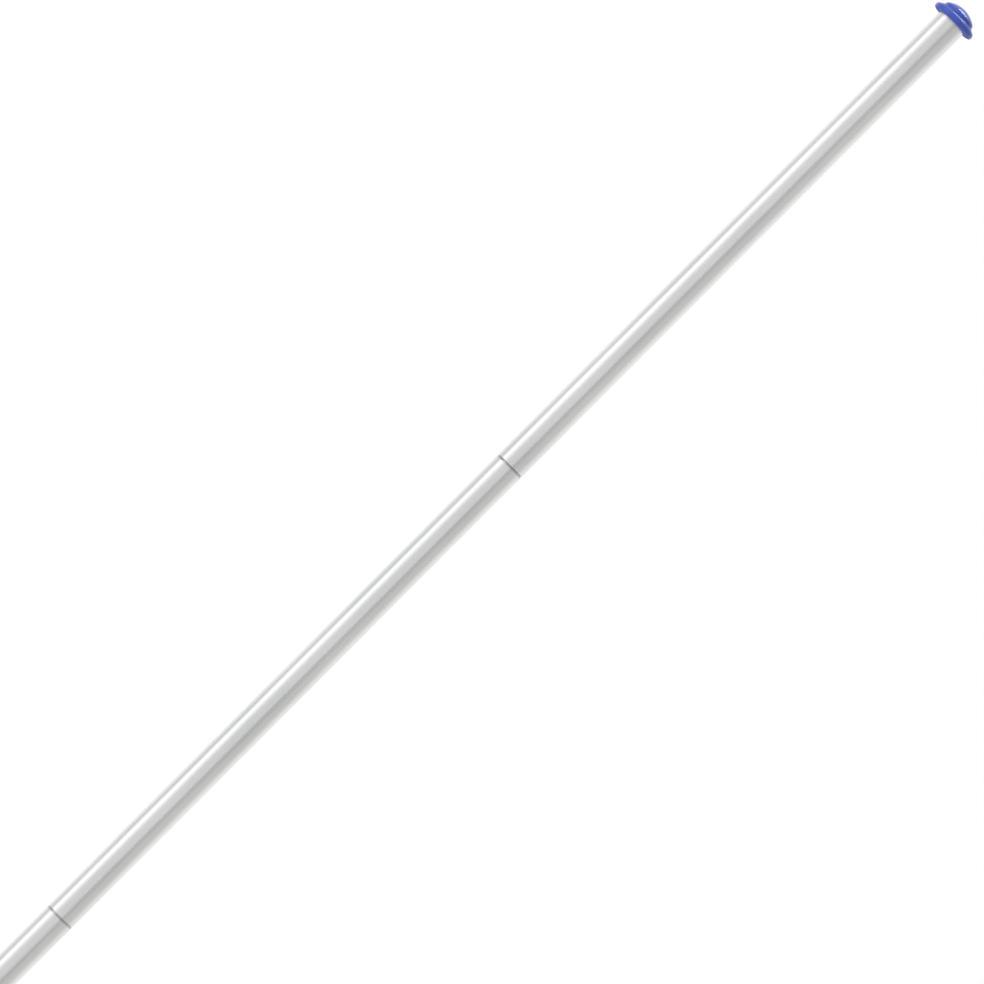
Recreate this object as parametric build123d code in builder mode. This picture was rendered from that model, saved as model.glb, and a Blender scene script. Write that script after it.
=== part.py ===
from build123d import *
import math
import os

# Sectional aluminium flagpole, standing on the flat lower end of its ground sleeve.
# Millimetres, +Z up. The origin is the centre of that flat lower end.
# +X is to the right of someone who faces the cleat, which is on the -Y side.

# Pole sections
tube_diameter = 50.8
tube_wall = 1.6
section_pitch = 990
section_count = 6
swage_length = 92
slip_clearance = 0.3
shoulder_length = 4.2
seat_clearance = 0.1
tube_edge_break = 0.4
top_section_length = 989

# Ground sleeve
sleeve_length = 814
sleeve_wall = 1.6
sleeve_edge_radius = 0.7

# Cap
cap_rim_diameter = 78
rim_foot_round = 3.5
rim_height = 10.8
cap_height = 28
cap_socket_depth = 12
cap_wall = 3
cap_seat_lip = 1.2
crease_diameter = 68
step_lean = 0.4
step_height = 11.6
dome_foot_round = 3
dome_diameter = 57
dome_shoulder = 6
ceiling_shoulder = 8
dome_flat_radius = 2
pocket_centre_offset = 32
pocket_width = 5.6
pocket_length = 30
pocket_corner_radius = 1.5
pocket_floor = 4
saddle_half_length = 7.5
saddle_height = 3
rope_hole_diameter = 5.2
rope_hole_spacing = 23.6

# Cleat
cleat_height = 1300
cleat_base_length = 54
cleat_base_width = 20
cleat_base_thickness = 9
cleat_corner_radius = 6
cleat_edge_radius = 1.5
cleat_seat_clearance = 0.15
arm_thickness = 6
arm_width = 11
arm_root = (3, 19)
arm_elbow = (26.5, 40)
arm_tip = (28.5, 77)
arm_bend_radius = 28
arm_tip_radius = 1.4

# Rivets
rivet_count = 3
rivet_spacing = 14
rivet_shank_diameter = 4.8
rivet_head_diameter = 9.5
rivet_head_thickness = 1.6
rivet_head_radius = 1.2
rivet_bulb_diameter = 6.4
rivet_bulb_length = 3.5
rivet_bulb_gap = 0.35
rivet_hole_clearance = 0.1

# Rope: places beside the cleat are given as across, out from the tube, and up from the cleat's centre
rope_diameter = 5
strand_bundle_radius = 9.5
hank_leg_places = [
    (0, 12, 44.6),
    (21, 12, 44.6),
    (21, 15.2, -48),
    (7, 16.6, -87),
]
hank_leg_radii = [15, 30]
waist_half_width = 16.8
waist_half_depth = 10.8
waist_standoff = 16.6
waist_top = -84
tie_top = -92
tie_wraps = 5
tie_clearance = 0.2
hank_lower_sections = [
    (-135, 16.9, 10.9),
    (-165, 19.3, 11.3),
    (-200, 23, 12),
    (-250, 27, 12.7),
    (-320, 29.5, 13),
    (-400, 28, 12.5),
    (-440, 21, 11),
    (-458, 12, 7),
]
rope_end_places = [
    (19.5, 16.6, -117),
    (19.5, 16.6, -133),
    (21.8, 17, -155),
    (28, 17.4, -186),
    (32, 17, -222),
    (33.6, 16.6, -262),
    (34.6, 16.4, -318),
    (34.1, 16.6, -375),
    (34, 16.5, -425),
    (34, 16.5, -462),
]
knot_diameter = 13
knot_length = 17

# Snap hooks: places on a hook are given as right and up from the middle of its head
wire_diameter = 3.8
head_half_width = 8
head_height = 7.1
head_bend = 6.2
neck_bend = 9
neck_half_width = 4.8
neck_depth = 9
bow_half_width = 12.6
bow_depth = 55.1
bow_side_depth = 40
latch_depth = 38
lug_radius = 2.8
lug_thickness = 2.2
wire_end_gap = 3.6
cheek_radius = 2.6
cheek_thickness = 1
cheek_clearance = 0.15
pin_diameter = 1.6
pin_clearance = 0.05
pin_head_diameter = 2.8
pin_head_thickness = 0.6
gate_diameter = 3.2
gate_start = 3.2
gate_end_clearance = 0.7
keeper_width = 2.4
keeper_height = 3.6
keeper_thickness = 1.7
eye_clearance = 0.2
eye_drop = 4.5

# Sizes that follow from the ones above
tube_radius = tube_diameter / 2
tube_bore_radius = tube_radius - tube_wall
swage_radius = tube_bore_radius - slip_clearance
swage_bore_radius = swage_radius - tube_wall
seat_drop = shoulder_length * tube_wall / (tube_radius - swage_radius) + seat_clearance
top_section_base = (section_count - 1) * section_pitch
tube_top = top_section_base + top_section_length
cap_base = tube_top - cap_socket_depth
sleeve_bore_radius = tube_radius + slip_clearance
sleeve_radius = sleeve_bore_radius + sleeve_wall
rim_radius = cap_rim_diameter / 2
crease_radius = crease_diameter / 2
dome_radius = dome_diameter / 2
socket_radius = tube_radius + slip_clearance
cap_hollow_radius = tube_bore_radius - cap_seat_lip
tie_height = tie_wraps * rope_diameter
tie_bottom = tie_top - tie_height
hank_sections = [(tie_bottom, waist_half_width, waist_half_depth)] + hank_lower_sections
eye_radius = wire_diameter / 2 + eye_clearance + rope_diameter / 2
shank_reach = cleat_base_thickness + tube_wall + rivet_bulb_gap
cleat_cut_depth = 2 * tube_wall

# Snap hook outline, from beside the pivot over the head and round the bow to the latch
pivot = Vector(neck_half_width, -neck_depth)
head_corner = Vector(head_half_width, head_height)
wire_start = pivot + (head_corner - pivot).normalized() * wire_end_gap
hook_wire_places = [
    (wire_start.X, wire_start.Y),
    (head_half_width, head_height),
    (-head_half_width, head_height),
    (-neck_half_width, -neck_depth),
    (-bow_half_width, -bow_side_depth),
    (-bow_half_width, -bow_depth),
    (bow_half_width, -bow_depth),
    (bow_half_width, -latch_depth),
]
bow_bend = bow_half_width - 0.2
hook_wire_radii = [head_bend, head_bend, neck_bend, neck_bend, bow_bend, bow_bend]
latch = Vector(bow_half_width, -latch_depth)
gate_direction = (latch - pivot).normalized()
gate_length = (latch - pivot).length - gate_end_clearance
hook_gate_axis = (gate_direction.X, 0, gate_direction.Y)
cheek_middle = lug_thickness / 2 + cheek_clearance + cheek_thickness / 2
cheek_outer = cheek_middle + cheek_thickness / 2
cheek_length = gate_start + cheek_radius

# Keeper: a tab on the outside of the latch that stops the closed gate
keeper_foot = latch + Vector(wire_diameter / 2 - keeper_thickness, 0)
keeper_inside = latch.X + gate_diameter / 2 + eye_clearance
keeper_outside = keeper_inside + keeper_thickness
keeper_places = [
    (keeper_foot.X, keeper_foot.Y - keeper_height),
    (keeper_inside, latch.Y),
    Vector(keeper_inside, latch.Y) - gate_direction * keeper_height,
    Vector(keeper_outside, latch.Y) - gate_direction * keeper_height,
    (keeper_outside, latch.Y),
    (latch.X + wire_diameter / 4, latch.Y - keeper_height),
]

os.makedirs("parts", exist_ok=True)


def finish(part, label):
    """Name a finished solid and write it to its own file."""
    part.label = label
    export_step(part, f"parts/{label}.step")


def beside_cleat(across, out, up):
    """A point from its place beside the cleat."""
    return (across, -tube_radius - out, cleat_height + up)


def facing_front(across, out, up):
    """A plane that faces outwards from the cleat's side of the pole, with its own X to the right."""
    return Plane(origin=beside_cleat(across, out, up), x_dir=(1, 0, 0), z_dir=(0, -1, 0))


def draw_dome(foot_radius, foot_height, top_height, shoulder):
    """Half a dome: an arc that leaves its foot upright, a flatter crown, and a small flat, which it returns."""
    rise = top_height - foot_height
    crown_radius = (foot_radius**2 + rise**2 - 2 * foot_radius * shoulder) / (2 * (rise - shoulder))
    lean = (foot_radius - shoulder) / (crown_radius - shoulder)
    joint = (crown_radius * lean, top_height - crown_radius * (1 - math.sqrt(1 - lean**2)))
    shoulder_arc = TangentArc((foot_radius, foot_height), joint, tangent=(0, 1))
    crown_arc = TangentArc(joint, (dome_flat_radius, top_height), tangent=shoulder_arc % 1)
    return Line(crown_arc @ 1, (0, top_height))


def bend_radii(points):
    """The largest comfortable bend at each inner point of a rope: 0.45 of its shorter run."""
    radii = []
    for before, corner, after in zip(points, points[1:], points[2:]):
        run_in = Vector(*corner) - Vector(*before)
        run_out = Vector(*after) - Vector(*corner)
        turn = math.radians(run_in.get_angle(run_out))
        radii.append(0.45 * min(run_in.length, run_out.length) / math.tan(turn / 2))
    return radii


# Pole sections: each lower end slips over the narrowed upper end of the one below
for index in range(section_count - 1):
    base = index * section_pitch
    shoulder_start = base + section_pitch - seat_drop
    section_end = base + section_pitch + swage_length
    with BuildPart() as section:
        with BuildSketch(Plane.XZ):
            with BuildLine():
                Polyline(
                    (tube_bore_radius, base),
                    (tube_radius - tube_edge_break, base),
                    (tube_radius, base + tube_edge_break),
                    (tube_radius, shoulder_start),
                    (swage_radius, shoulder_start + shoulder_length),
                    (swage_radius, section_end - tube_edge_break),
                    (swage_radius - tube_edge_break, section_end),
                    (swage_bore_radius, section_end),
                    (swage_bore_radius, shoulder_start + shoulder_length),
                    (tube_bore_radius, shoulder_start),
                    close=True,
                )
            make_face()
        revolve(axis=Axis.Z)
        if base < cleat_height < base + section_pitch:
            with BuildSketch(facing_front(0, -tube_radius, 0)):
                with GridLocations(1, rivet_spacing, 1, rivet_count):
                    Circle(rivet_shank_diameter / 2 + rivet_hole_clearance)
            extrude(amount=tube_diameter, mode=Mode.SUBTRACT)
    finish(section.part, f"section_{index + 1}")

with BuildPart() as top_section:
    with BuildSketch(Plane.XY.offset(top_section_base)):
        Circle(tube_radius)
        Circle(tube_bore_radius, mode=Mode.SUBTRACT)
    extrude(amount=top_section_length)
    outer_rims = top_section.edges().filter_by(GeomType.CIRCLE).group_by(SortBy.RADIUS)[-1]
    chamfer(outer_rims, tube_edge_break)
finish(top_section.part, f"section_{section_count}")

# Ground sleeve over the lower part of the first section
with BuildPart() as sleeve:
    with BuildSketch():
        Circle(sleeve_radius)
        Circle(sleeve_bore_radius, mode=Mode.SUBTRACT)
    extrude(amount=sleeve_length)
    fillet(sleeve.edges().group_by(Axis.Z)[-1], sleeve_edge_radius)
finish(sleeve.part, "ground_sleeve")

# Cap: a moulded dome on a broad rolled rim, with a rope pocket each side and two rope holes in each pocket
with BuildPart() as cap:
    with BuildSketch(Plane.XZ):
        with BuildLine():
            underside = Line((0, cap_base), (rim_radius - rim_foot_round, cap_base))
            rim_foot = TangentArc(underside @ 1, (rim_radius, cap_base + rim_foot_round), tangent=(1, 0))
            rim_roll = TangentArc(rim_foot @ 1, (crease_radius, cap_base + rim_height), tangent=(0, 1))
            step_rise = Polyline(
                rim_roll @ 1,
                (crease_radius - step_lean, cap_base + step_height),
                (dome_radius + dome_foot_round, cap_base + step_height),
            )
            dome_foot_top = cap_base + step_height + dome_foot_round
            TangentArc(step_rise @ 1, (dome_radius, dome_foot_top), tangent=(-1, 0))
            dome = draw_dome(dome_radius, dome_foot_top, cap_base + cap_height, dome_shoulder)
            Line(dome @ 1, underside @ 0)
        make_face()
    revolve(axis=Axis.Z)
    # Socket for the top tube, and the hollow under the dome
    with BuildSketch(Plane.XZ):
        with BuildLine():
            socket = Polyline(
                (0, cap_base),
                (socket_radius, cap_base),
                (socket_radius, tube_top),
                (cap_hollow_radius, tube_top),
                (cap_hollow_radius, cap_base + step_height),
            )
            ceiling_top = cap_base + cap_height - cap_wall
            ceiling = draw_dome(cap_hollow_radius, cap_base + step_height, ceiling_top, ceiling_shoulder)
            Line(ceiling @ 1, socket @ 0)
        make_face()
    revolve(axis=Axis.Z, mode=Mode.SUBTRACT)
    # Pockets, open upwards, with a saddle between the two rope holes
    with BuildSketch(Plane.XY.offset(cap_base + pocket_floor)):
        with Locations((pocket_centre_offset, 0), (-pocket_centre_offset, 0)):
            RectangleRounded(pocket_width, pocket_length, pocket_corner_radius)
    extrude(amount=cap_height, mode=Mode.SUBTRACT)
    for pocket_middle in (pocket_centre_offset, -pocket_centre_offset):
        with BuildSketch(Plane.YZ.offset(pocket_middle)):
            with BuildLine():
                saddle = ThreePointArc(
                    (-saddle_half_length, cap_base + pocket_floor),
                    (0, cap_base + pocket_floor + saddle_height),
                    (saddle_half_length, cap_base + pocket_floor),
                )
                Line(saddle @ 1, saddle @ 0)
            make_face()
        extrude(amount=pocket_width / 2, both=True)
    with BuildSketch(Plane.XY.offset(cap_base)):
        with GridLocations(2 * pocket_centre_offset, rope_hole_spacing, 2, 2):
            Circle(rope_hole_diameter / 2)
    extrude(amount=pocket_floor, mode=Mode.SUBTRACT)
finish(cap.part, "truck_cap")

# Cleat: a thick base shaped to the tube, with an upper and a lower horn
cleat_back = facing_front(0, -cleat_cut_depth, 0)
with BuildPart() as cleat:
    with BuildSketch(cleat_back):
        RectangleRounded(cleat_base_width, cleat_base_length, cleat_corner_radius)
    extrude(amount=cleat_cut_depth + cleat_base_thickness)
    fillet(cleat.faces().sort_by(Axis.Y)[0].edges(), cleat_edge_radius)
    with BuildSketch(Plane.XY.offset(cleat_height - cleat_base_length)):
        Circle(tube_radius + cleat_seat_clearance)
    extrude(amount=2 * cleat_base_length, mode=Mode.SUBTRACT)
    with BuildLine(Plane(origin=beside_cleat(0, 0, 0), x_dir=(0, -1, 0), z_dir=(-1, 0, 0))) as arm_line:
        FilletPolyline(arm_root, arm_elbow, arm_tip, radius=arm_bend_radius)
    with BuildSketch(Plane(origin=arm_line.line @ 0, x_dir=(1, 0, 0), z_dir=arm_line.line % 0)):
        Ellipse(arm_width / 2, arm_thickness / 2)
    sweep(path=arm_line.line)
    fillet(cleat.edges().group_by(Axis.Z)[-1], arm_tip_radius)
    mirror(about=Plane(origin=(0, 0, cleat_height), z_dir=(0, 0, 1)))
    with BuildSketch(cleat_back):
        with GridLocations(1, rivet_spacing, 1, rivet_count):
            Circle(rivet_shank_diameter / 2 + rivet_hole_clearance)
    extrude(amount=cleat_cut_depth + cleat_base_thickness, mode=Mode.SUBTRACT)
finish(cleat.part, "cleat")

# Blind rivets through the cleat and the tube's wall
for index in range(rivet_count):
    rivet_up = (index - (rivet_count - 1) / 2) * rivet_spacing
    rivet_seat = facing_front(0, cleat_base_thickness, rivet_up)
    with BuildPart() as rivet:
        with BuildSketch(rivet_seat):
            Circle(rivet_head_diameter / 2)
        extrude(amount=rivet_head_thickness)
        fillet(rivet.edges().sort_by(Axis.Y)[0], rivet_head_radius)
        with BuildSketch(rivet_seat):
            Circle(rivet_shank_diameter / 2)
        extrude(amount=-shank_reach)
        with BuildSketch(rivet_seat.offset(-shank_reach)):
            Circle(rivet_bulb_diameter / 2)
        extrude(amount=-rivet_bulb_length)
    finish(rivet.part, f"cleat_rivet_{index + 1}")

# Rope hank: two legs hung over the upper horn, a tied waist, and the long loops below it
with BuildPart() as hank_loops:
    for height, half_width, half_depth in hank_sections:
        with BuildSketch(Plane(origin=beside_cleat(0, waist_standoff, height))):
            Ellipse(half_width, half_depth)
    loft()
with BuildPart() as hank:
    with BuildLine() as leg_line:
        FilletPolyline([beside_cleat(*place) for place in hank_leg_places], radius=hank_leg_radii)
    with BuildSketch(Plane(origin=leg_line.line @ 0, z_dir=leg_line.line % 0)):
        Circle(strand_bundle_radius)
    sweep(path=leg_line.line)
    mirror(about=Plane.YZ)
    with BuildSketch(Plane(origin=beside_cleat(0, waist_standoff, tie_bottom))):
        Ellipse(waist_half_width, waist_half_depth)
    extrude(amount=waist_top - tie_bottom)
    add(hank_loops.part)
finish(hank.part, "rope_hank")

# Wraps round the waist of the hank
with BuildPart() as tie:
    with BuildSketch(Plane(origin=beside_cleat(0, waist_standoff, tie_bottom))):
        inner_width = waist_half_width + tie_clearance
        inner_depth = waist_half_depth + tie_clearance
        Ellipse(inner_width + rope_diameter, inner_depth + rope_diameter)
        Ellipse(inner_width, inner_depth, mode=Mode.SUBTRACT)
    extrude(amount=tie_height)
finish(tie.part, "rope_tie")

# Rope ends, knots and snap hooks, one of each to the left and to the right
for side, name in ((-1, "left"), (1, "right")):
    end_points = [beside_cleat(side * across, out, up) for across, out, up in rope_end_places]
    end_radii = bend_radii(end_points)
    with BuildPart() as rope_end:
        with BuildLine() as rope_line:
            FilletPolyline(end_points, radius=end_radii)
        with BuildSketch(Plane(origin=rope_line.line @ 0, z_dir=rope_line.line % 0)):
            Circle(rope_diameter / 2)
        sweep(path=rope_line.line)
    finish(rope_end.part, f"rope_end_{name}")
    rope_length = sum(edge.length for edge in rope_line.edges())
    print(f"rope end {name}: length {rope_length:.0f}, bends {[round(r) for r in end_radii]}")

    # Knot on the rope's end, with its eye round the head of the hook
    hook_across = side * rope_end_places[-1][0]
    hook_out = rope_end_places[-1][1]
    knot_top = rope_end_places[-1][2]
    knot_bottom = knot_top - knot_length
    head_top = knot_bottom - eye_drop
    with BuildPart() as knot:
        with BuildSketch(facing_front(hook_across, hook_out, knot_bottom)):
            with BuildLine():
                knot_core = Line((0, 0), (0, knot_length))
                knot_top_line = Line(knot_core @ 1, (rope_diameter / 2, knot_length))
                knot_side = ThreePointArc(
                    knot_top_line @ 1,
                    (knot_diameter / 2, knot_length / 2),
                    (rope_diameter / 2, 0),
                )
                Line(knot_side @ 1, knot_core @ 0)
            make_face()
        revolve(axis=Axis(beside_cleat(hook_across, hook_out, 0), (0, 0, 1)))
        eye_plane = Plane(
            origin=beside_cleat(hook_across, hook_out, head_top), x_dir=(0, -1, 0), z_dir=(-1, 0, 0)
        )
        with Locations(eye_plane.location):
            Torus(eye_radius, rope_diameter / 2)
    finish(knot.part, f"rope_knot_{name}")

    # Wire frame of the snap hook: pivot lug, head, neck, bow, and the keeper beside the latch
    hook_face = facing_front(hook_across, hook_out, head_top - head_height)
    with BuildPart() as frame:
        with BuildLine(hook_face) as wire_line:
            FilletPolyline(hook_wire_places, radius=hook_wire_radii)
        with BuildSketch(Plane(origin=wire_line.line @ 0, z_dir=wire_line.line % 0)):
            Circle(wire_diameter / 2)
        sweep(path=wire_line.line)
        with BuildSketch(hook_face):
            SlotCenterPoint((pivot + wire_start) / 2, pivot, 2 * lug_radius)
        extrude(amount=lug_thickness / 2, both=True)
        with BuildSketch(hook_face):
            with Locations(pivot):
                Circle(pin_diameter / 2 + pin_clearance)
        extrude(amount=lug_thickness, both=True, mode=Mode.SUBTRACT)
        with BuildSketch(hook_face):
            with BuildLine():
                Polyline(keeper_places, close=True)
            make_face()
        extrude(amount=keeper_width / 2, both=True)
    finish(frame.part, f"hook_frame_{name}")

    # Sprung gate: a bar with a forked end astride the lug
    bar_plane = Plane(origin=hook_face.from_local_coords(pivot), z_dir=hook_gate_axis)
    with BuildPart() as gate:
        with BuildSketch(bar_plane.offset(gate_start)):
            Circle(gate_diameter / 2)
        extrude(amount=gate_length - gate_start)
        fillet(gate.edges().group_by(Axis.Z)[0], gate_diameter / 6)
        for cheek_side in (1, -1):
            cheek_face = hook_face.offset(cheek_side * cheek_middle)
            with BuildSketch(cheek_face):
                SlotCenterPoint(pivot + gate_direction * cheek_length / 2, pivot, 2 * cheek_radius)
            extrude(amount=cheek_thickness / 2, both=True)
        with BuildSketch(hook_face):
            with Locations(pivot):
                Circle(pin_diameter / 2 + pin_clearance)
        extrude(amount=cheek_outer, both=True, mode=Mode.SUBTRACT)
    finish(gate.part, f"hook_gate_{name}")

    # Pin through the lug and the gate's cheeks, with a head on each end
    with BuildPart() as pin:
        with BuildSketch(hook_face):
            with Locations(pivot):
                Circle(pin_diameter / 2)
        extrude(amount=cheek_outer + pin_clearance, both=True)
        for head_side in (1, -1):
            with BuildSketch(hook_face.offset(head_side * (cheek_outer + pin_clearance))):
                with Locations(pivot):
                    Circle(pin_head_diameter / 2)
            extrude(amount=head_side * pin_head_thickness)
    finish(pin.part, f"hook_pin_{name}")
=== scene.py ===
import math

import bpy
from mathutils import Matrix, Quaternion, Vector


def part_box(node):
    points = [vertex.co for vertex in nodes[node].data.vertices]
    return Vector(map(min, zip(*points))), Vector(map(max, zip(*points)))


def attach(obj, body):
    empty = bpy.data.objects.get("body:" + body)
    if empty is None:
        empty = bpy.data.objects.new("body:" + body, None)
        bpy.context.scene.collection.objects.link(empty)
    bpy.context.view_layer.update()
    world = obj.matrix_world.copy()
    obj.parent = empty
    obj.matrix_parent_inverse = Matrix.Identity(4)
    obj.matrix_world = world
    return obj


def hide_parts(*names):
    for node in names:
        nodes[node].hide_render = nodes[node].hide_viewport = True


# The looks of a sectional aluminium flagpole. Metres, +Z up, the cleat on the -Y side.

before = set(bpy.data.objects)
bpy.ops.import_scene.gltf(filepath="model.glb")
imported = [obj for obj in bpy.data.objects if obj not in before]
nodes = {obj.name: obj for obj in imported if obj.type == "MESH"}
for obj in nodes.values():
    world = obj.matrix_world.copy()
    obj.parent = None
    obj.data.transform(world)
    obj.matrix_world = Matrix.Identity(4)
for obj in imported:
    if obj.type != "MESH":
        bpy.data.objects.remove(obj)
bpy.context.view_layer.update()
scene = bpy.context.scene

# Sizes of the model that its looks follow, in millimetres
MM = 0.001
SECTION_COUNT = 6
SECTION_PITCH = 990
TUBE_RADIUS = 25.4
CLEAT_HEIGHT = 1300
CLEAT_BASE_THICKNESS = 9
RIVET_COUNT = 3
RIVET_SPACING = 14
RIVET_HEAD_THICKNESS = 1.6
ROPE_DIAMETER = 5


def beside_cleat(across, out, up):
    """A point in metres from its place beside the cleat in millimetres: across, out from the tube, up."""
    return Vector((across, -TUBE_RADIUS - out, CLEAT_HEIGHT + up)) * MM


# Camera: the diagonal pole of the photograph, with its top to the upper right
VIEW_DISTANCE = 10.0
VIEW_HEIGHT = 4.74
VIEW_TARGET = Vector((0.009, 0.0, 4.901))
VIEW_WIDTH = 1.534
VIEW_ROLL = 44.93
SENSOR_WIDTH = 36
FARTHEST_SEEN = 200

camera_data = bpy.data.cameras.new("camera")
camera = bpy.data.objects.new("camera", camera_data)
scene.collection.objects.link(camera)
camera.location = (VIEW_TARGET.x, -VIEW_DISTANCE, VIEW_HEIGHT)
sight = VIEW_TARGET - camera.location
roll = Quaternion((0, 0, 1), math.radians(VIEW_ROLL))
camera.rotation_mode = "QUATERNION"
camera.rotation_quaternion = sight.to_track_quat("-Z", "Y") @ roll
camera_data.sensor_width = SENSOR_WIDTH
camera_data.lens = SENSOR_WIDTH * sight.length / VIEW_WIDTH
camera_data.clip_end = FARTHEST_SEEN
scene.camera = camera
scene.view_settings.view_transform = "Standard"


# Materials: tools that they share
def new_material(name):
    """A new material with its node tree, its shader and its texture coordinates."""
    material = bpy.data.materials.new(name)
    material.use_nodes = True
    tree = material.node_tree
    shader = tree.nodes["Principled BSDF"]
    coordinates = tree.nodes.new("ShaderNodeTexCoord")
    return material, tree, shader, coordinates


def stretched_noise(tree, coordinates, stretch, scale, detail=4.0, roughness=0.55):
    """The value of a noise on object coordinates, stretched by its own scale along each axis."""
    mapping = tree.nodes.new("ShaderNodeMapping")
    mapping.inputs["Scale"].default_value = stretch
    noise = tree.nodes.new("ShaderNodeTexNoise")
    noise.inputs["Scale"].default_value = scale
    noise.inputs["Detail"].default_value = detail
    noise.inputs["Roughness"].default_value = roughness
    tree.links.new(coordinates.outputs["Object"], mapping.inputs["Vector"])
    tree.links.new(mapping.outputs["Vector"], noise.inputs["Vector"])
    return noise.outputs["Fac"]


def height_on_pole(tree, coordinates):
    """The height above the ground, in metres."""
    place = tree.nodes.new("ShaderNodeSeparateXYZ")
    tree.links.new(coordinates.outputs["Object"], place.inputs["Vector"])
    return place.outputs["Z"]


def colour_ramp(tree, factor, low, high, low_colour, high_colour):
    """A colour that goes from one to another over a range of its factor."""
    ramp = tree.nodes.new("ShaderNodeValToRGB")
    start, end = ramp.color_ramp.elements
    start.position = low
    end.position = high
    start.color = (*low_colour, 1)
    end.color = (*high_colour, 1)
    tree.links.new(factor, ramp.inputs["Fac"])
    return ramp.outputs["Color"]


def value_range(tree, value, low, high, from_low=0.3, from_high=0.7):
    """A value carried from one range to another."""
    change = tree.nodes.new("ShaderNodeMapRange")
    change.inputs["From Min"].default_value = from_low
    change.inputs["From Max"].default_value = from_high
    change.inputs["To Min"].default_value = low
    change.inputs["To Max"].default_value = high
    tree.links.new(value, change.inputs["Value"])
    return change.outputs["Result"]


def combined(tree, operation, first, second):
    """Two values combined by one operation."""
    result = tree.nodes.new("ShaderNodeMath")
    result.operation = operation
    tree.links.new(first, result.inputs[0])
    tree.links.new(second, result.inputs[1])
    return result.outputs["Value"]


def mix_colours(tree, share, first, second):
    """Two colours mixed by a share: the first at nought, the second at one."""
    mix = tree.nodes.new("ShaderNodeMix")
    mix.data_type = "RGBA"
    tree.links.new(share, mix.inputs["Factor"])
    tree.links.new(first, mix.inputs["A"])
    mix.inputs["B"].default_value = (*second, 1)
    return mix.outputs["Result"]


def add_bump(tree, shader, height, strength, distance):
    """Small relief on the shader's normal, its distance in metres."""
    bump = tree.nodes.new("ShaderNodeBump")
    bump.inputs["Strength"].default_value = strength
    bump.inputs["Distance"].default_value = distance
    tree.links.new(height, bump.inputs["Height"])
    tree.links.new(bump.outputs["Normal"], shader.inputs["Normal"])


# Drawn aluminium: the shoulder below each joint starts this far up its section, in millimetres. From there
# the colour turns to a painted shade grey that stands for the shadow line of the joint.
SHOULDER_START = 986.2
SHOULDER_FADE = 0.8
JOINT_SHADE_GREY = (0.46, 0.46, 0.46)
ALUMINIUM_DULL = (0.765, 0.77, 0.775)
ALUMINIUM_BRIGHT = (0.83, 0.832, 0.835)


def drawn_aluminium():
    """Drawn tube with fine lines along its length, a faint cloudiness, and painted shade: a grey band on
    the shoulder at each joint for the joint's shadow line.
    """
    material, tree, shader, coordinates = new_material("drawn_aluminium")
    shader.inputs["Metallic"].default_value = 1.0
    lines = stretched_noise(tree, coordinates, (1400, 1400, 5), scale=1.0, detail=3.0)
    clouds = stretched_noise(tree, coordinates, (26, 26, 7), scale=1.0, detail=5.0)
    tint = colour_ramp(tree, clouds, 0.3, 0.75, ALUMINIUM_DULL, ALUMINIUM_BRIGHT)
    along = tree.nodes.new("ShaderNodeMath")
    along.operation = "MODULO"
    along.inputs[1].default_value = SECTION_PITCH * MM
    tree.links.new(height_on_pole(tree, coordinates), along.inputs[0])
    fade_start = (SHOULDER_START - SHOULDER_FADE) * MM
    fade_end = (SHOULDER_START + SHOULDER_FADE) * MM
    joint_shade = value_range(tree, along.outputs["Value"], 0, 1, fade_start, fade_end)
    # Painted shade: the shoulder band is grey in place of the shadow in each joint
    tree.links.new(mix_colours(tree, joint_shade, tint, JOINT_SHADE_GREY), shader.inputs["Base Color"])
    tree.links.new(value_range(tree, lines, 0.26, 0.31), shader.inputs["Roughness"])
    add_bump(tree, shader, lines, strength=0.06, distance=0.00004)
    return material


GREEN_DARK = (0.003, 0.058, 0.059)
GREEN_LIGHT = (0.007, 0.086, 0.087)


def coated_green():
    """Dark green finish under a thin gloss, with a slight orange peel."""
    material, tree, shader, coordinates = new_material("coated_green")
    shader.inputs["Specular IOR Level"].default_value = 0.22
    shader.inputs["Coat Weight"].default_value = 0.15
    shader.inputs["Coat Roughness"].default_value = 0.12
    peel = stretched_noise(tree, coordinates, (1, 1, 1), scale=420, detail=2.0)
    clouds = stretched_noise(tree, coordinates, (1, 1, 0.3), scale=30)
    tint = colour_ramp(tree, clouds, 0.3, 0.7, GREEN_DARK, GREEN_LIGHT)
    tree.links.new(tint, shader.inputs["Base Color"])
    tree.links.new(value_range(tree, clouds, 0.26, 0.36), shader.inputs["Roughness"])
    add_bump(tree, shader, peel, strength=0.25, distance=0.00008)
    return material


# Moulded blue: its matt underside turns glossy between two heights over the foot of the cap, in millimetres
CAP_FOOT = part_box("truck_cap")[0].z / MM
MATT_END = 0.1
GLOSS_START = 1.2
MATT_ROUGHNESS = 0.6
BLUE_DARK = (0.028, 0.066, 0.385)
BLUE_LIGHT = (0.036, 0.081, 0.44)


def moulded_blue():
    """Glossy moulded blue plastic with a matt underside."""
    material, tree, shader, coordinates = new_material("moulded_blue")
    grain = stretched_noise(tree, coordinates, (1, 1, 1), scale=900, detail=2.0)
    flow = stretched_noise(tree, coordinates, (1, 1, 2.5), scale=38, detail=3.0)
    tint = colour_ramp(tree, flow, 0.3, 0.7, BLUE_DARK, BLUE_LIGHT)
    tree.links.new(tint, shader.inputs["Base Color"])
    height = height_on_pole(tree, coordinates)
    gloss = value_range(tree, grain, 0.14, 0.22)
    fade_start = (CAP_FOOT + MATT_END) * MM
    fade_end = (CAP_FOOT + GLOSS_START) * MM
    underside = value_range(tree, height, MATT_ROUGHNESS, 0, fade_start, fade_end)
    tree.links.new(combined(tree, "MAXIMUM", gloss, underside), shader.inputs["Roughness"])
    add_bump(tree, shader, grain, strength=0.08, distance=0.00004)
    return material


CASTING_DARK = (0.17, 0.17, 0.175)
CASTING_LIGHT = (0.26, 0.26, 0.265)


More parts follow.
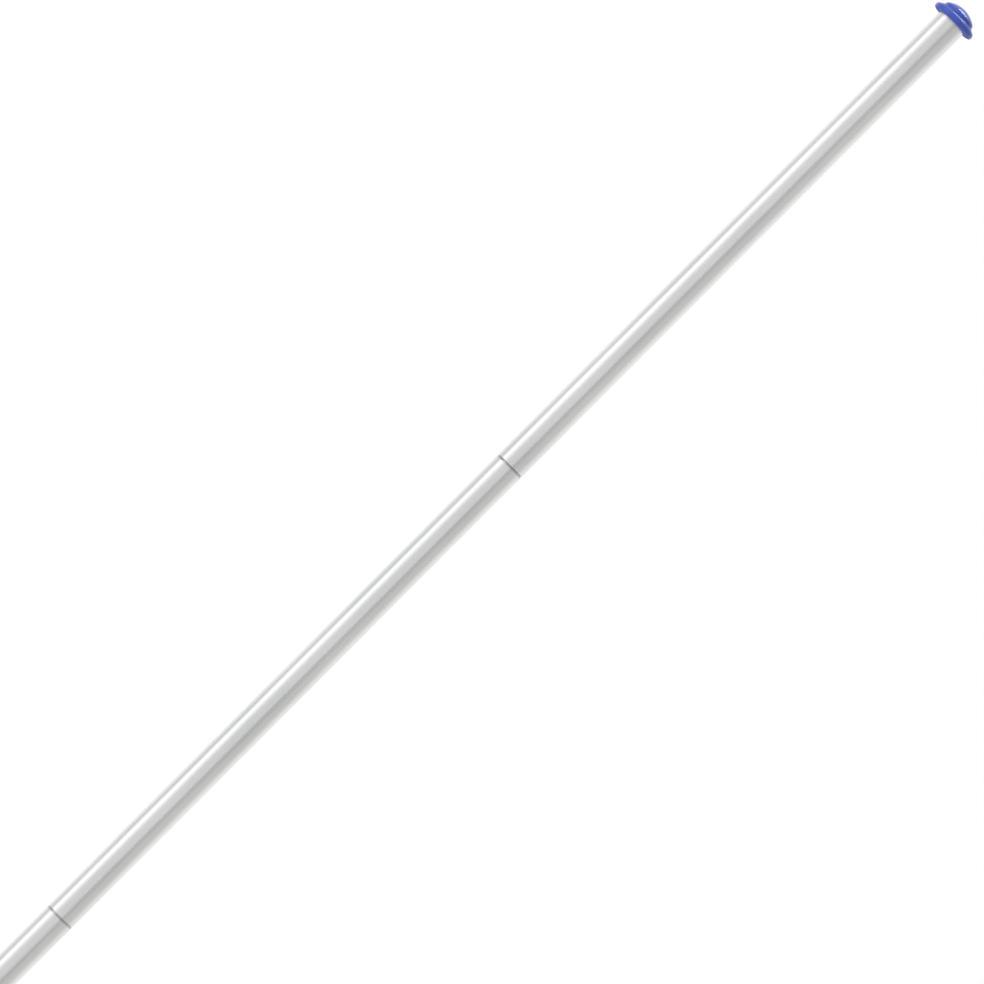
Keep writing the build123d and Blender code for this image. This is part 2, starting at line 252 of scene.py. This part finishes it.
def cast_grey():
    """Satin grey casting with a fine sandy skin and paler patches."""
    material, tree, shader, coordinates = new_material("cast_grey")
    shader.inputs["Metallic"].default_value = 0.6
    sand = stretched_noise(tree, coordinates, (1, 1, 1), scale=1100, detail=6.0, roughness=0.7)
    patches = stretched_noise(tree, coordinates, (1, 1, 1), scale=70)
    tint = colour_ramp(tree, patches, 0.32, 0.72, CASTING_DARK, CASTING_LIGHT)
    tree.links.new(tint, shader.inputs["Base Color"])
    tree.links.new(value_range(tree, sand, 0.4, 0.56), shader.inputs["Roughness"])
    add_bump(tree, shader, sand, strength=0.35, distance=0.00012)
    return material


# Bright metals: the full tone of each, and the share of it in their dimmer clouds
RIVET_TONE = (0.78, 0.78, 0.79)
NICKEL_TONE = (0.70, 0.69, 0.67)
DIM_SHARE = 0.9


def bright_metal(name, tone, roughness_low, roughness_high, grain_scale):
    """Plated or polished metal with faint scratches."""
    material, tree, shader, coordinates = new_material(name)
    shader.inputs["Metallic"].default_value = 1.0
    scratches = stretched_noise(tree, coordinates, (1, 3, 7), grain_scale, detail=5.0, roughness=0.65)
    clouds = stretched_noise(tree, coordinates, (1, 1, 1), grain_scale / 6, detail=3.0)
    dim = tuple(DIM_SHARE * level for level in tone)
    tint = colour_ramp(tree, clouds, 0.3, 0.7, dim, tone)
    tree.links.new(tint, shader.inputs["Base Color"])
    roughness = value_range(tree, scratches, roughness_low, roughness_high)
    tree.links.new(roughness, shader.inputs["Roughness"])
    add_bump(tree, shader, scratches, strength=0.1, distance=0.00003)
    return material


# Braid: the pitch of its plaits in metres and their number round the rope. A wave texture at 45 degrees
# repeats after one step along the rope's map.
PLAIT_PITCH = 0.0038
PLAITS_AROUND = 6
PLAIT_SCALE = 0.32
PLAIT_STEP = math.sqrt(2) * math.pi / (10 * PLAIT_SCALE)
PLAIT_LAY = math.pi / 4
BRAID_SHADE = (0.64, 0.64, 0.63)
BRAID_WHITE = (0.85, 0.85, 0.84)


def braided_rope():
    """White braided polyester: two sets of plaits that cross along the rope's own map."""
    material, tree, shader, coordinates = new_material("braided_rope")
    shader.inputs["Sheen Weight"].default_value = 0.25
    shader.inputs["Sheen Roughness"].default_value = 0.5
    shader.inputs["Roughness"].default_value = 0.78
    mapping = tree.nodes.new("ShaderNodeMapping")
    mapping.inputs["Scale"].default_value = (PLAIT_STEP / PLAIT_PITCH, PLAIT_STEP * PLAITS_AROUND, 1)
    tree.links.new(coordinates.outputs["UV"], mapping.inputs["Vector"])
    plaits = []
    for turn in (PLAIT_LAY, -PLAIT_LAY):
        lay = tree.nodes.new("ShaderNodeMapping")
        lay.inputs["Rotation"].default_value = (0, 0, turn)
        wave = tree.nodes.new("ShaderNodeTexWave")
        wave.wave_profile = "SIN"
        wave.inputs["Scale"].default_value = PLAIT_SCALE
        tree.links.new(mapping.outputs["Vector"], lay.inputs["Vector"])
        tree.links.new(lay.outputs["Vector"], wave.inputs["Vector"])
        plaits.append(wave.outputs["Fac"])
    braid = combined(tree, "MAXIMUM", *plaits)
    tint = colour_ramp(tree, braid, 0.2, 0.9, BRAID_SHADE, BRAID_WHITE)
    tree.links.new(tint, shader.inputs["Base Color"])
    add_bump(tree, shader, braid, strength=0.8, distance=0.0005)
    return material


ALUMINIUM = drawn_aluminium()
GREEN = coated_green()
BLUE = moulded_blue()
GREY = cast_grey()
RIVET = bright_metal("rivet_aluminium", RIVET_TONE, 0.26, 0.38, grain_scale=600)
NICKEL = bright_metal("nickel_plate", NICKEL_TONE, 0.14, 0.26, grain_scale=500)
ROPE = braided_rope()


def give_material(node, material):
    """Put one material on every slot of a CAD node."""
    for place in nodes[node].material_slots:
        place.material = material


for index in range(SECTION_COUNT):
    give_material(f"section_{index + 1}", ALUMINIUM)
give_material("ground_sleeve", GREEN)
give_material("truck_cap", BLUE)
give_material("cleat", GREY)
for index in range(RIVET_COUNT):
    give_material(f"cleat_rivet_{index + 1}", RIVET)
hook_pieces = [f"hook_{part}_{side}" for side in ("left", "right") for part in ("frame", "gate", "pin")]
for node in hook_pieces:
    give_material(node, NICKEL)


# Pulled mandrels in the heads of the blind rivets: a collar round a hollow with the broken stem in it
HEAD_FRONT = CLEAT_BASE_THICKNESS + RIVET_HEAD_THICKNESS
COLLAR_RADIUS = 1.9
COLLAR_SIDES = 32
COLLAR_FRONT = HEAD_FRONT + 0.5
COLLAR_BACK = HEAD_FRONT - 0.6
COLLAR_LIP = 0.55
HOLLOW_DEPTH = 0.42
HOLLOW_GAP = 0.35
STEM_RISE = 0.2
MANDREL_EDGE = 0.12
MANDREL_SMOOTH = 40


def front_face(piece):
    """In edit mode, select only the face at the front of a turned piece."""
    bpy.ops.mesh.select_mode(type="FACE")
    bpy.ops.mesh.select_all(action="DESELECT")
    bpy.ops.object.mode_set(mode="OBJECT")
    foremost = max(piece.data.polygons, key=lambda face: (round(face.center.z, 5), face.normal.z))
    foremost.select = True
    bpy.ops.object.mode_set(mode="EDIT")


def pulled_mandrel(name, up):
    """One mandrel at its height beside the cleat. Its front face looks to -Y."""
    bpy.ops.object.select_all(action="DESELECT")
    bpy.ops.mesh.primitive_cylinder_add(
        vertices=COLLAR_SIDES,
        radius=COLLAR_RADIUS * MM,
        depth=(COLLAR_FRONT - COLLAR_BACK) * MM,
        location=beside_cleat(0, (COLLAR_FRONT + COLLAR_BACK) / 2, up),
        rotation=(math.pi / 2, 0, 0),
    )
    piece = bpy.context.object
    piece.name = name
    bpy.ops.object.mode_set(mode="EDIT")
    front_face(piece)
    bpy.ops.mesh.inset(thickness=COLLAR_LIP * MM)
    bpy.ops.mesh.extrude_region_move(TRANSFORM_OT_translate={"value": (0, HOLLOW_DEPTH * MM, 0)})
    bpy.ops.mesh.inset(thickness=HOLLOW_GAP * MM)
    bpy.ops.mesh.extrude_region_move(TRANSFORM_OT_translate={"value": (0, -STEM_RISE * MM, 0)})
    bpy.ops.mesh.select_all(action="SELECT")
    bpy.ops.mesh.normals_make_consistent(inside=False)
    bpy.ops.object.mode_set(mode="OBJECT")
    bpy.ops.object.transform_apply(location=True, rotation=True, scale=True)
    bevel = piece.modifiers.new("soft_edges", "BEVEL")
    bevel.width = MANDREL_EDGE * MM
    bevel.segments = 3
    bevel.limit_method = "ANGLE"
    bpy.ops.object.modifier_apply(modifier=bevel.name)
    bpy.ops.object.shade_smooth_by_angle(angle=math.radians(MANDREL_SMOOTH))
    piece.data.materials.append(RIVET)
    return piece


mandrel = pulled_mandrel("rivet_mandrel_1", -RIVET_SPACING)
mandrels = [mandrel]
for index in range(1, RIVET_COUNT):
    twin = mandrel.copy()
    twin.data = mandrel.data.copy()
    twin.name = f"rivet_mandrel_{index + 1}"
    twin.data.transform(Matrix.Translation((0, 0, index * RIVET_SPACING * MM)))
    scene.collection.objects.link(twin)
    mandrels.append(twin)
for piece in mandrels:
    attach(piece, "pole")


# Halyard: one cord from the left hook through the hank and its tie to the right hook, in millimetres
# beside the cleat. Each strand of the hank has its place at the waist: how far aside, and how deep.
HANK_STRANDS = [
    (0, -2.9),
    (6.7, -2.8),
    (2.8, -6.7),
    (-2.8, -6.7),
    (-6.7, -2.8),
    (-2.5, 1.5),
    (-6.7, 2.8),
    (-2.8, 6.7),
    (2.8, 6.7),
    (6.7, 2.8),
    (2.5, 1.5),
]
WAIST_OUT = 16.6
WAIST_HALF_WIDTH = 7.7
WAIST_SHARE = 0.75
ARCH_HALF_WIDTH = 21
ARCH_MIDDLE = 24
ROUND_CORNER = 0.414

# The long loops under the waist: half the width, the depth and the lowest point of each
LOOP_WIDTHS = [19, 24.5, 18, 24, 18.5, 25, 18, 24.5, 18.5, 24]
LOOP_DEPTHS = [-9.5, -9.2, -4.9, -4.6, 0, 0.2, 4.7, 4.9, 9.2, 9.5]
LOOP_BOTTOMS = [-436, -452, -441, -456, -434, -449, -438, -455, -432, -446]

# Their legs at each height: the share of the width that they have there, and a slow drift to the side
LOOP_HEIGHTS = [-188, -232, -278, -322, -362]
INNER_SPREAD = [0.62, 0.56, 0.46, 0.54, 0.8]
OUTER_SPREAD = [0.74, 0.78, 0.8, 0.86, 0.97]
LEG_STAGGER = 4
DRIFT = 3.4
DRIFT_START = 0.7
DRIFT_BY_LAYER = 2.5
DRIFT_BY_HEIGHT = 1.3

# The tie: oval turns round the waist, a rope's thickness apart, the first a share of one below its top
TIE_TOP = -92
TIE_LEAD = 0.35
TIE_HALF_WIDTH = 20.3
TIE_HALF_DEPTH = 14.3

# The right end of the rope, from the tie down to its knot. The left end mirrors it.
ROPE_END = [
    (19.5, 16.6, -133),
    (21.8, 17, -155),
    (28, 17.4, -186),
    (32, 17, -222),
    (33.6, 16.6, -262),
    (34.6, 16.4, -318),
    (34.1, 16.6, -375),
    (34, 16.5, -425),
    (34, 16.5, -462),
]


def leg_pass(index):
    """Up the left leg, over the horn in a round arch and down the right leg."""
    spread, depth = HANK_STRANDS[index]
    arch = ARCH_HALF_WIDTH + spread
    side = [
        (WAIST_HALF_WIDTH + WAIST_SHARE * spread, WAIST_OUT + 1.1 * depth, -100),
        (9.5 + 0.85 * spread, 16.4 + depth, -80),
        (14 + spread, 15.6 + depth, -60),
        (18.5 + spread, 14.9 + depth, -38),
        (20.7 + spread, 14.2 + depth, -14),
        (arch, 13.3 + depth, ARCH_MIDDLE - 0.5 * arch),
        (arch, 12.6 + depth, ARCH_MIDDLE + ROUND_CORNER * arch),
        (ROUND_CORNER * arch, 12 + depth, ARCH_MIDDLE + arch),
    ]
    return [(-x, y, z) for x, y, z in side] + side[::-1]


def loop_leg(index, side):
    """One leg of a long loop, from the waist down to the bottom: side is 1 on the right, -1 on the left."""
    spread, waist_depth = HANK_STRANDS[index]
    width, depth, bottom = LOOP_WIDTHS[index], LOOP_DEPTHS[index], LOOP_BOTTOMS[index]
    out = WAIST_OUT + depth
    layer = index // 2
    shares = OUTER_SPREAD if index % 2 else INNER_SPREAD
    leg = [
        (side * (WAIST_HALF_WIDTH + WAIST_SHARE * spread), WAIST_OUT + 1.05 * waist_depth, -122),
        (side * (8.6 + 0.4 * spread + 0.08 * width), WAIST_OUT + 0.5 * (waist_depth + depth), -150),
    ]
    for step, (height, share) in enumerate(zip(LOOP_HEIGHTS, shares)):
        drift = DRIFT * math.sin(DRIFT_BY_LAYER * layer + DRIFT_BY_HEIGHT * step + DRIFT_START)
        leg.append((side * share * width + drift, out, height + LEG_STAGGER * side))
    leg += [
        (side * width, out, (bottom + LOOP_HEIGHTS[-1]) / 2 + 0.45 * width),
        (side * width, out, bottom + 1.45 * width),
        (side * width, out, bottom + (1 - ROUND_CORNER) * width),
        (side * ROUND_CORNER * width, out, bottom),
    ]
    return leg


def tie_wraps(first_angle, last_angle, step_angle):
    """Turns round the waist that work down from the top of the tie."""
    turns = []
    for degrees in range(first_angle, last_angle + 1, step_angle):
        turn = degrees / 360
        angle = 2 * math.pi * turn
        across = TIE_HALF_WIDTH * math.cos(angle)
        out = WAIST_OUT + TIE_HALF_DEPTH * math.sin(angle)
        turns.append((across, out, TIE_TOP - ROPE_DIAMETER * (TIE_LEAD + turn)))
    return turns


# Up from the left hook, then a pass over the horn and a long loop in turn
left_end = [(-x, y, z) for x, y, z in ROPE_END[::-1]]
route = left_end + [(-15, 16, -117), (-10.5, 14.5, -101)]
for turn in range(len(HANK_STRANDS)):
    route += leg_pass(turn) if turn else leg_pass(turn)[1:]
    if turn < len(LOOP_WIDTHS):
        route += loop_leg(turn, 1) + loop_leg(turn, -1)[::-1]

# The last pass stops above the waist, winds the tie from there, and goes down to the right hook
route = route[:-3]
route += [(19.5, 17.5, -58), (22, 18.5, -76), (21.5, 21.5, -89)]
route += tie_wraps(first_angle=60, last_angle=1680, step_angle=30)
route += [(17.2, 11.5, -117.6), (19.4, 15.2, -123)]
route += ROPE_END

# Knots: an eye through the hook's head and wraps round the rope above it, measured from the rope's end
EYE_RADIUS = 4.78
EYE_DRIFT = 1.6
EYE_DROP = -21.5
KNOT_RADIUS = 4.14
KNOT_BOTTOM = -14.2
KNOT_PITCH = 4.3
KNOT_STEPS = 32
STEPS_A_WRAP = 12
EYE_STEP = 30


def knot_route(side):
    """From the rope's end down through the knot, round the hook's head, and up in wraps round itself."""
    across, out, top = ROPE_END[-1]
    places = [(0, 0, 1.5), (0, 0, -3), (0, 0.2, -8), (-1, 0.8, -13)]
    for angle in range(EYE_STEP, 360, EYE_STEP):
        turn = math.radians(angle)
        drift = EYE_DRIFT * (angle / 180 - 1)
        places.append((drift, EYE_RADIUS * math.sin(turn), EYE_DROP + EYE_RADIUS * math.cos(turn)))
    for step in range(KNOT_STEPS + 1):
        turn = 2 * math.pi * step / STEPS_A_WRAP - math.pi / 2
        rise = KNOT_BOTTOM + KNOT_PITCH * step / STEPS_A_WRAP
        places.append((KNOT_RADIUS * math.cos(turn), KNOT_RADIUS * math.sin(turn), rise))
    places += [(-2.4, 0.4, -0.9), (-0.6, -0.4, -1.2)]
    return [(side * (across + x), out + y, top + z) for x, y, z in places]


ROPE_SIDES = 12
ROPE_MERGE = 0.000001
ROPE_SMOOTH = 50
LINE_STEPS = 6


def smooth_line(name, places):
    """A NURBS line with its control points at places beside the cleat."""
    curve = bpy.data.curves.new(name, "CURVE")
    curve.dimensions = "3D"
    spline = curve.splines.new("NURBS")
    spline.points.add(len(places) - 1)
    for point, place in zip(spline.points, places):
        point.co = (*beside_cleat(*place), 1)
    spline.order_u = 3
    spline.use_endpoint_u = True
    spline.resolution_u = LINE_STEPS
    line = bpy.data.objects.new(name + "_line", curve)
    scene.collection.objects.link(line)
    return line


def map_by_length(mesh, path):
    """Set the map of a tube along its path to the length in metres from its start."""
    lengths = [0.0]
    for first, second in zip(path, path[1:]):
        lengths.append(lengths[-1] + (second - first).length)

    # The tube has a ring of vertices at each point of the path, after those of its two end caps
    end_caps = len(mesh.vertices) - len(path) * ROPE_SIDES
    for loop, corner in zip(mesh.loops, mesh.uv_layers[0].data):
        if loop.vertex_index >= end_caps:
            corner.uv.x = lengths[(loop.vertex_index - end_caps) // ROPE_SIDES]


def close_ends(piece):
    """Join the end caps of a tube to its sides, and shade its sides smooth."""
    bpy.ops.object.select_all(action="DESELECT")
    piece.select_set(True)
    bpy.context.view_layer.objects.active = piece
    bpy.ops.object.mode_set(mode="EDIT")
    bpy.ops.mesh.select_all(action="SELECT")
    bpy.ops.mesh.remove_doubles(threshold=ROPE_MERGE)
    bpy.ops.mesh.normals_make_consistent(inside=False)
    bpy.ops.object.mode_set(mode="OBJECT")
    bpy.ops.object.shade_smooth_by_angle(angle=math.radians(ROPE_SMOOTH))


def lay_rope(name, places):
    """A rope's tube along its smooth line, and the points that it follows."""
    line = smooth_line(name, places)
    thread = bpy.data.meshes.new_from_object(line)
    path = [vertex.co.copy() for vertex in thread.vertices]
    line.data.bevel_depth = ROPE_DIAMETER / 2 * MM
    line.data.bevel_resolution = ROPE_SIDES // 2 - 2
    line.data.use_fill_caps = True
    mesh = bpy.data.meshes.new_from_object(line)
    bpy.data.objects.remove(line)
    mesh.name = name
    map_by_length(mesh, path)
    mesh.materials.clear()
    mesh.materials.append(ROPE)
    piece = bpy.data.objects.new(name, mesh)
    scene.collection.objects.link(piece)
    close_ends(piece)
    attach(piece, "pole")
    return piece, path


rope, rope_path = lay_rope("halyard", route)
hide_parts("rope_hank", "rope_tie", "rope_end_left", "rope_end_right")
for side, name in ((-1, "left"), (1, "right")):
    knot, _ = lay_rope(f"halyard_knot_{name}", knot_route(side))
    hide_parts(f"rope_knot_{name}")


# Studio: a pale floor, a white surround and tall cards that only reflections see
def glowing(name, colour, strength):
    """A plain glowing material."""
    material = bpy.data.materials.new(name)
    material.use_nodes = True
    tree = material.node_tree
    tree.nodes.clear()
    glow = tree.nodes.new("ShaderNodeEmission")
    glow.inputs["Color"].default_value = (*colour, 1)
    glow.inputs["Strength"].default_value = strength
    output = tree.nodes.new("ShaderNodeOutputMaterial")
    tree.links.new(glow.outputs["Emission"], output.inputs["Surface"])
    return material


def seen_directly(tree):
    """One for camera, glossy and transmission rays, and nought for the rest."""
    rays = tree.nodes.new("ShaderNodeLightPath")
    seen = rays.outputs["Is Camera Ray"]
    for kind in ("Is Glossy Ray", "Is Transmission Ray"):
        seen = combined(tree, "MAXIMUM", seen, rays.outputs[kind])
    return seen


# Each card's name, its edges in degrees round the pole from the camera's side, its strength and its tint
CARDS = [
    ("card_flag", -119, -90, 0.72, (1, 1, 1)),
    ("card_strip", -83, -57, 1.4, (1, 1, 1)),
    ("card_pale", -42, 7, 0.78, (1, 1, 1)),
    ("card_dark", 11, 40, 0.53, (1, 1.01, 0.97)),
    ("card_mid", 40, 86, 0.65, (1, 1.005, 0.97)),
    ("card_edge", 86, 104, 0.82, (1, 1, 0.98)),
    ("card_rim", 104, 124, 0.93, (1, 1, 1)),
]
CARD_DISTANCE = 2.5
CARD_BOTTOM = -1.0
CARD_TOP = 9.0


def reflection_card(name, start, end, strength, tint):
    """A tall flat card between two angles, seen only in reflections."""
    corners = []
    for angle in (start, end):
        turn = math.radians(angle)
        corners.append((CARD_DISTANCE * math.sin(turn), -CARD_DISTANCE * math.cos(turn)))
    outline = [(*corner, CARD_BOTTOM) for corner in corners]
    outline += [(*corner, CARD_TOP) for corner in corners[::-1]]
    mesh = bpy.data.meshes.new(name)
    mesh.from_pydata(outline, [], [(0, 1, 2, 3)])
    mesh.materials.append(glowing(name, tint, strength))
    card = bpy.data.objects.new(name, mesh)
    scene.collection.objects.link(card)
    card.visible_camera = False
    card.visible_diffuse = False
    card.visible_shadow = False
    card.visible_transmission = False


for card in CARDS:
    reflection_card(*card)

SURROUND_LIGHT = 0.58
SURROUND_SEEN = 1.0

world = bpy.data.worlds.new("white_surround")
world.use_nodes = True
scene.world = world
world_tree = world.node_tree
world_tree.nodes.clear()
surround = world_tree.nodes.new("ShaderNodeBackground")
surround.inputs["Color"].default_value = (1, 1, 1, 1)
seen = seen_directly(world_tree)
surround_strength = value_range(world_tree, seen, SURROUND_LIGHT, SURROUND_SEEN, 0, 1)
world_tree.links.new(surround_strength, surround.inputs["Strength"])
world_output = world_tree.nodes.new("ShaderNodeOutputWorld")
world_tree.links.new(surround.outputs["Background"], world_output.inputs["Surface"])

# Each light's name, place, aim, width, height and power in watts, and whether reflections show it
LIGHTS = [
    ("key_light", (-2.6, -3.4, 8.6), (0, 0, 5.0), 1.6, 0.5, 110, False),
    ("top_light", (0.3, 1.85, 10.1), (0, 0, 5.93), 2.2, 1.2, 66, True),
    ("low_light", (-3.2, -3.6, 3.0), (0, 0, 1.6), 2.0, 2.0, 110, False),
]


def soft_light(name, place, aim, width, height, power, in_reflections):
    """A rectangular soft box that the camera doesn't see."""
    light_data = bpy.data.lights.new(name, "AREA")
    light_data.shape = "RECTANGLE"
    light_data.size = width
    light_data.size_y = height
    light_data.energy = power
    light = bpy.data.objects.new(name, light_data)
    scene.collection.objects.link(light)
    light.location = place
    light.rotation_mode = "QUATERNION"
    light.rotation_quaternion = (Vector(aim) - Vector(place)).to_track_quat("-Z", "Y")
    light.visible_camera = False
    light.visible_glossy = in_reflections


for light in LIGHTS:
    soft_light(*light)

# The floor glows where it is seen directly, more with the distance from the pole, and fades into the white
FLOOR_RADIUS = 60
FLOOR_SIDES = 96
FLOOR_TONE = (0.9, 0.9, 0.9, 1)
GLOW_NEAR = 0.16
GLOW_FAR = 0.5
GLOW_START = 1.5
GLOW_END = 26

bpy.ops.object.select_all(action="DESELECT")
bpy.ops.mesh.primitive_circle_add(
    vertices=FLOOR_SIDES,
    radius=FLOOR_RADIUS,
    fill_type="NGON",
    location=(0, 0, 0),
)
floor = bpy.context.object
floor.name = "floor"
floor_material, floor_tree, floor_shader, floor_place = new_material("pale_floor")
floor_shader.inputs["Base Color"].default_value = FLOOR_TONE
floor_shader.inputs["Roughness"].default_value = 0.9
floor_shader.inputs["Specular IOR Level"].default_value = 0.1
floor_shader.inputs["Emission Color"].default_value = (1, 1, 1, 1)
from_pole = floor_tree.nodes.new("ShaderNodeVectorMath")
from_pole.operation = "LENGTH"
floor_tree.links.new(floor_place.outputs["Object"], from_pole.inputs[0])
distance = from_pole.outputs["Value"]
glow_with_distance = value_range(floor_tree, distance, GLOW_NEAR, GLOW_FAR, GLOW_START, GLOW_END)
floor_glow = combined(floor_tree, "MULTIPLY", glow_with_distance, seen_directly(floor_tree))
floor_tree.links.new(floor_glow, floor_shader.inputs["Emission Strength"])
floor.data.materials.append(floor_material)
